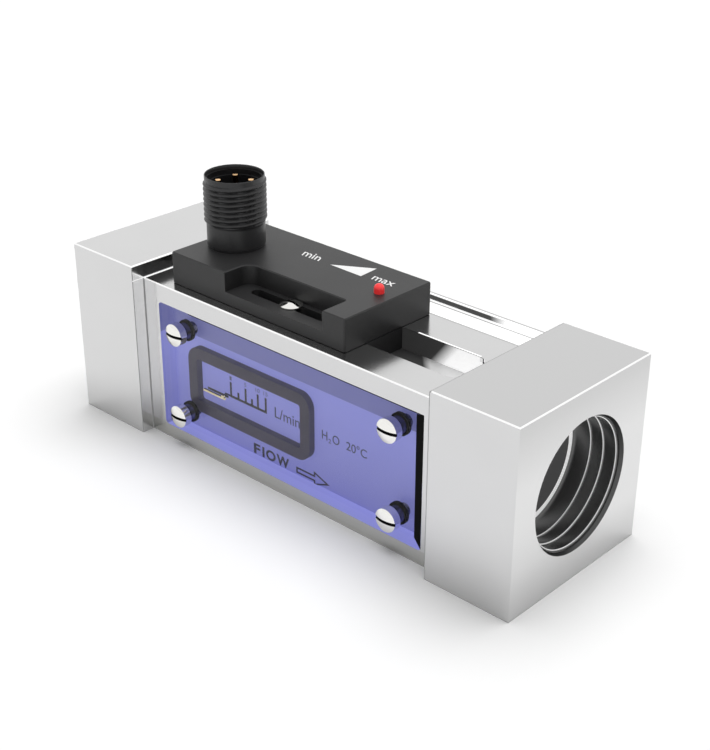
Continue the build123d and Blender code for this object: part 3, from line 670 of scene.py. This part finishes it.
DOME = 0.5
HEAD = 2.1
SLOT = 0.6
SLOT_DEPTH = 0.7
COVER_SCREWS = tuple((x, z) for z in (24.4, 6.8) for x in (-27.3, 27.3))
for number, (x, z) in enumerate(COVER_SCREWS, 1):
    name = f"cover_screw_{number}"
    shape = screw_shape(head_r=2.25, side=HEAD - DOME, dome=DOME, shank_r=1.25, shank=8.3, slot_width=SLOT,
                        slot_depth=SLOT_DEPTH, pitch=0.45, neck_r=1.65, neck=4.25)
    mesh = mesh_from(name, shape, moved(x, FACE_Y, z, TO_FRONT))
    piece = object_from(f"{name}_turned", mesh, bright_plate, "body")
    top = FACE_Y - HEAD
    # Painted shade: the slot's faces painted black and the shank inside the plate painted dark.
    finish_faces(piece, shade_black, Y=(top + 0.1, top + SLOT_DEPTH + 0.02), Z=near(z, SLOT / 2 + 0.01))
    finish_faces(piece, shaded_shank, Y=(FACE_Y + 0.9, 0))
    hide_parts(name)


# A black ring round each cover screw at the back of the plate: painted shade that stands for
# the dark of the screw's hole, and shows through the plate as a dark band.
HOLE_SHADE_LENGTH = 1.2
HOLE_SHADE_WALL = ((1.66, 0), (2.15, 0), (2.15, HOLE_SHADE_LENGTH), (1.66, HOLE_SHADE_LENGTH))
for number, (x, z) in enumerate(COVER_SCREWS, 1):
    hole_shade = bmesh.new()
    spun(hole_shade, HOLE_SHADE_WALL, around=48, closed=True)
    mesh = mesh_from(f"grommet_{number}", hole_shade, moved(x, PLATE_BACK, z, TO_FRONT))
    object_from(f"grommet_{number}", mesh, shade_black, "body")


# Black strips on the plate's front: a painted dark reflection in the bevel at the plate's
# outlet end, and a thin painted shade line along its upper edge.
EDGE_SHADES = (("edge_shade", ((32.6, 5.0), (34.08, 3.2), (34.08, 29.2), (32.5, 29.0)), 0.03),
         ("edge_shade_upper", strip(-24.5, 34.0, 29.1, 29.26), 0.02))
for name, outline, thickness in EDGE_SHADES:
    mesh = mesh_from(name, flat_shape(outline, thickness), moved(0, FACE_Y, 0, TO_FRONT))
    object_from(name, mesh, shade_black, "body")


# The pointer: a metal strip painted cream in front and lit a little from within as painted
# light, on a blade that comes through a slit in the pocket's floor. The blade and the strip's
# top are painted black as painted shadow.
pointer_cream = material("pointer_cream", (0.80, 0.68, 0.40), 0.4, grains=3000, contrast=0.1, bump=0.05)
pointer = Areas(pointer_cream)
blade = pointer.inside(Y=(-10.19, 0))
pointer.paint(pointer.outside(blade), (0.85, 0.72, 0.45), (0.30, 0.26, 0.16))
pointer.paint(pointer.any_of(blade, pointer.facing("Z")), grey(0.004), grey(0))
dress(pointer_cream, "pointer")


# The parts in the bore: brass piston with its magnet and cap, and the spring, seat, stop ring
# and retaining ring in blued steel, which is lit a little from within as painted light.
def lit(made, colour, strength):
    """Lights a material evenly from within."""
    shader = made.node_tree.nodes["Principled BSDF"]
    shader.inputs["Emission Color"].default_value = (*colour, 1)
    shader.inputs["Emission Strength"].default_value = strength


brass = material("turned_brass", (0.72, 0.50, 0.20), 0.28, metallic=1.0, grains=2500, contrast=0.1, bump=0.1)
steel = material("spring_steel", (0.16, 0.16, 0.17), 0.3, metallic=1.0, grains=2500, contrast=0.1, bump=0.1)
magnet_black = material("magnet_black", (0.06, 0.06, 0.065), 0.5, metallic=0.4, grains=2500, contrast=0.2,
                        bump=0.3)
lit(steel, grey(0.03), 1.0)
dress(brass, "piston", "magnet_cap")
dress(steel, "return_spring", "retaining_ring", "stop_ring", "spring_seat")
dress(magnet_black, "piston_magnet")


# The switch housing and the tongue under it: glass-filled nylon, moulded charcoal grey, with
# a fine spark-eroded texture.
housing_grey = material("housing_grey", (0.020, 0.020, 0.0205), 0.42, grains=3800, contrast=0.25, spread=0.1,
                        bump=0.35, Specular_IOR_Level=0.4)
dress(housing_grey, "housing_shell", "base_slider")


# The marks on the housing: min, max and a wedge that grows from one to the other, pad
# printed in white on its top.
white_ink = material("white_ink", grey(0.92), 0.5, contrast=0.05, bump=0)
on_roof = moved(0, 0, 39.4)
for name, words, box, slant in (("min_word", "min", (-12.05, -7.6, 2.65, 4.95), -0.42),
                                ("max_word", "max", (5.3, 10.4, 3.05, 4.6), -0.28)):
    letters(name, words, box, on_roof, white_ink, "switch_head", bold=0.005, slant=slant)
wedge = mesh_from("setting_wedge", flat_shape([(-4.8, 2.95), (3.06, 2.79), (2.75, 7.4)], INK), on_roof)
object_from("setting_wedge", wedge, white_ink, "switch_head")


# What the housing holds: the reed contact's glass capsule, which lies in its channel, and the
# green circuit board above it. Neither shows from outside.
capsule_glass = material("capsule_glass", (0.55, 0.68, 0.60), 0.08, grains=2000, contrast=0.05, bump=0,
                         Transmission_Weight=0.6)
board_green = material("board_green", (0.02, 0.16, 0.06), 0.4, grains=1500, contrast=0.3, bump=0.2)
dress(capsule_glass, "reed_switch")
dress(board_green, "circuit_board")


# The signal lamp: a red diffused light-emitting diode, soldered to the board, whose round
# top stands out of the housing's roof.
lamp_red = material("lamp_red", (0.90, 0.045, 0.05), 0.3, grains=1500, contrast=0.1, bump=0)
lit(lamp_red, (1.0, 0.03, 0.03), 0.25)
dress(lamp_red, "lamp")


# The connector: a black plated sleeve with a plain collar, an M12 thread and a stepped socket.
# The insert at the bottom of the socket is black too, lit a little from within as painted light.
CONNECTOR = (-25.2, -1.75)
SLEEVE_BOTTOM = 37.0
COLLAR_Z = 39.7
COLLAR_R = 5.6
THREAD_Z = 44.0
THREAD_END = 52.9
THREAD_ROOT = 5.56
THREAD_DEPTH = 0.44
BAND_Z = 52.35
BAND_R = 5.7
RIM_Z = 53.42
STEP_Z = RIM_Z - 0.8
SOCKET_FLOOR = 46.0
AROUND = 96


def sleeve_radius(angle, height):
    """The outside radius: collar, flared shoulder, thread and the plain band at the rim."""
    if height < THREAD_Z + 0.5:
        flare = min(max((height - THREAD_Z) / 0.4, 0.0), 1.0)
        return COLLAR_R + 0.1 * flare
    if height > BAND_Z:
        return BAND_R
    turn = (height - THREAD_END + 0.35 - angle / (2 * pi)) % 1.0
    crest = 1 - 2 * abs(turn - 0.5)
    return THREAD_ROOT + THREAD_DEPTH * min(crest * 1.25, 1.0)


connector_black = material("connector_black", (0.014, 0.014, 0.015), 0.38, grains=3500, contrast=0.25,
                           spread=0.08, bump=0.25)
BELOW = ((3.9, SLEEVE_BOTTOM), (4.5, SLEEVE_BOTTOM), (4.5, COLLAR_Z), (5.4, COLLAR_Z))
ABOVE = ((BAND_R, RIM_Z - 0.08), (5.64, RIM_Z), (5.56, RIM_Z), (5.5, RIM_Z - 0.08), (5.5, STEP_Z),
         (5.2, STEP_Z), (5.2, STEP_Z - 1.0), (4.8, STEP_Z - 1.0), (4.8, SOCKET_FLOOR), (3.9, SOCKET_FLOOR))
heights = [COLLAR_Z + 0.2, THREAD_Z - 0.1] + [THREAD_Z + 0.1 * step for step in range(0, 96)]
sleeve = bmesh.new()
rings = [ring(sleeve, [radius] * AROUND, height) for radius, height in BELOW]
for height in heights:
    if height <= RIM_Z - 0.12:
        radii = [sleeve_radius(2 * pi * i / AROUND, height) for i in range(AROUND)]
        rings.append(ring(sleeve, radii, height))
rings += [ring(sleeve, [radius] * AROUND, height) for radius, height in ABOVE]
skin(sleeve, rings, closed=True)
piece = object_from("connector_sleeve_threaded", mesh_from("sleeve", sleeve, moved(*CONNECTOR, 0)),
                    connector_black, "switch_head", sharp=40)
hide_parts("connector_sleeve")
dress(connector_black, "connector_seal")
insert_black = material("insert_black", (0.03, 0.03, 0.031), 0.5, grains=3000, contrast=0.2, bump=0.2)
lit(insert_black, grey(0.011), 1.0)
dress(insert_black, "contact_carrier")


# The four contact pins: gilt brass with flat tips, pressed into the insert. Their sides are
# painted darker than their tips, as painted shade in the socket.
PIN_TOP = 52.3
PIN_FROM_MIDDLE = 2.2
gilt = material("gilt", (0.95, 0.60, 0.30), 0.22, metallic=1.0, grains=2500, contrast=0.05, bump=0.05)
pins = Areas(gilt)
pins.finish(pins.inside(Z=(30, PIN_TOP - 0.1)), (0.20, 0.09, 0.02))
for number, (side, depth) in enumerate(((-1, -1), (1, -1), (-1, 1), (1, 1)), 1):
    pin = bmesh.new()
    spun(pin, [(0, 35.5), (0.55, 35.5), (0.55, PIN_TOP - 0.08), (0.5, PIN_TOP - 0.01), (0.4, PIN_TOP),
               (0, PIN_TOP)], around=24)
    place = moved(CONNECTOR[0] + PIN_FROM_MIDDLE * side, CONNECTOR[1] + PIN_FROM_MIDDLE * depth, 0)
    piece = object_from(f"contact_pin_{number}_round", mesh_from("pin", pin, place), gilt, "switch_head")
    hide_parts(f"contact_pin_{number}")


# The lock screw: a bright turned pan head with a driver slot. It passes through the ledge's
# slot into the bar and clamps the ledge on it.
LOCK = Vector((-3.0, -9.05, 35.5))
shape = screw_shape(head_r=2.15, side=0.3, dome=0.55, shank_r=1.0, shank=5.7, slot_width=SLOT,
                    slot_depth=0.4, pitch=0.4)
piece = object_from("lock_screw_turned", mesh_from("lock_screw", shape, moved(*LOCK)), bright_plate,
                    "lock_screw")
# The slot's faces are painted black as painted shade.
finish_faces(piece, shade_black, Y=near(LOCK.y, SLOT / 2 + 0.01), Z=(LOCK.z + 0.4, LOCK.z + 0.8))
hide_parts("lock_screw")


# The stage: a white floor that keeps the soft shadow, a white room and one wide soft lamp
# above, which isn't mirrored in the metal.
def towards(azimuth, elevation):
    """The direction of a place seen from the object; azimuth 0 is the window's side."""
    a, e = radians(azimuth), radians(elevation)
    return Vector((sin(a) * cos(e), -cos(a) * cos(e), sin(e)))


def stage_floor():
    """A matt white floor, a little lit from within where the camera sees it."""
    floor = bmesh.new()
    bmesh.ops.create_grid(floor, x_segments=1, y_segments=1, size=4000.0)
    piece = bpy.data.objects.new("floor", mesh_from("floor", floor, moved(0, 0, -0.02)))
    bpy.context.scene.collection.objects.link(piece)
    made = bpy.data.materials.new("floor_white")
    made.use_nodes = True
    tree = made.node_tree
    tree.nodes.clear()
    first = maths(tree, "LESS_THAN", add(tree, "ShaderNodeLightPath").outputs["Diffuse Depth"], 0.5)
    paint = add(tree, "ShaderNodeBsdfDiffuse", {"Color": (0.96, 0.96, 0.96, 1)})
    lift = maths(tree, "MULTIPLY", first, 0.03)
    glow = add(tree, "ShaderNodeEmission", {"Color": (1, 1, 1, 1), "Strength": lift})
    both = add(tree, "ShaderNodeAddShader", {0: paint.outputs[0], 1: glow.outputs[0]})
    add(tree, "ShaderNodeOutputMaterial", {"Surface": both.outputs[0]})
    piece.data.materials.append(made)


def white_room(light, mirrored):
    """A white room: its strength as a light, and as a mirrored view in light that has bounced."""
    world = bpy.data.worlds.new("white_room")
    bpy.context.scene.world = world
    world.use_nodes = True
    tree = world.node_tree
    tree.nodes.clear()
    path = add(tree, "ShaderNodeLightPath").outputs
    seen = maths(tree, "MAXIMUM", path["Is Camera Ray"], path["Is Glossy Ray"])
    seen = maths(tree, "MAXIMUM", seen, path["Is Transmission Ray"])
    direct = add(tree, "ShaderNodeMapRange", {"Value": seen, "To Min": light, "To Max": 1.0})
    later = maths(tree, "GREATER_THAN", path["Diffuse Depth"], 0.5)
    later = maths(tree, "MULTIPLY", later, path["Is Glossy Ray"])
    strength = add(tree, "ShaderNodeMapRange",
                   {"Value": later, "To Min": direct.outputs[0], "To Max": mirrored})
    sky = add(tree, "ShaderNodeBackground", {"Color": (1, 1, 1, 1), "Strength": strength.outputs[0]})
    add(tree, "ShaderNodeOutputWorld", {"Surface": sky.outputs[0]})


def soft_sun(name, strength, direction, spread):
    """A wide soft lamp that shines from a direction and isn't mirrored in the metal."""
    lamp = bpy.data.lights.new(name, "SUN")
    lamp.energy = strength
    lamp.angle = radians(spread)
    holder = bpy.data.objects.new(name, lamp)
    holder.visible_glossy = False
    holder.rotation_euler = direction.to_track_quat("Z", "Y").to_euler()
    bpy.context.scene.collection.objects.link(holder)


stage_floor()
white_room(light=0.27, mirrored=0.15)
soft_sun("overhead_lamp", 2.45, towards(170, 83), 52)


# The camera: at the photograph's viewing angle and distance, with a lens that gives the
# photograph's frame.
AZIMUTH, ELEVATION, ROLL = 43.08, 26.67, 0.21
TARGET = Vector((-10.40, 15.73, 9.97)) * mm
DISTANCE = 285.4 * mm
back = towards(AZIMUTH, ELEVATION)
level = Vector((cos(radians(AZIMUTH)), sin(radians(AZIMUTH)), 0))
rise = back.cross(level)
right = level * cos(radians(ROLL)) + rise * sin(radians(ROLL))
up = rise * cos(radians(ROLL)) - level * sin(radians(ROLL))
camera = bpy.data.cameras.new("camera")
camera.lens = 67.57
camera.sensor_width = 36.0
camera.clip_start = 0.01
holder = bpy.data.objects.new("camera", camera)
bpy.context.scene.collection.objects.link(holder)
turn = Matrix((right, up, back)).transposed().to_4x4()
holder.matrix_world = Matrix.Translation(TARGET + back * DISTANCE) @ turn
bpy.context.scene.camera = holder
bpy.context.scene.view_settings.view_transform = "Standard"
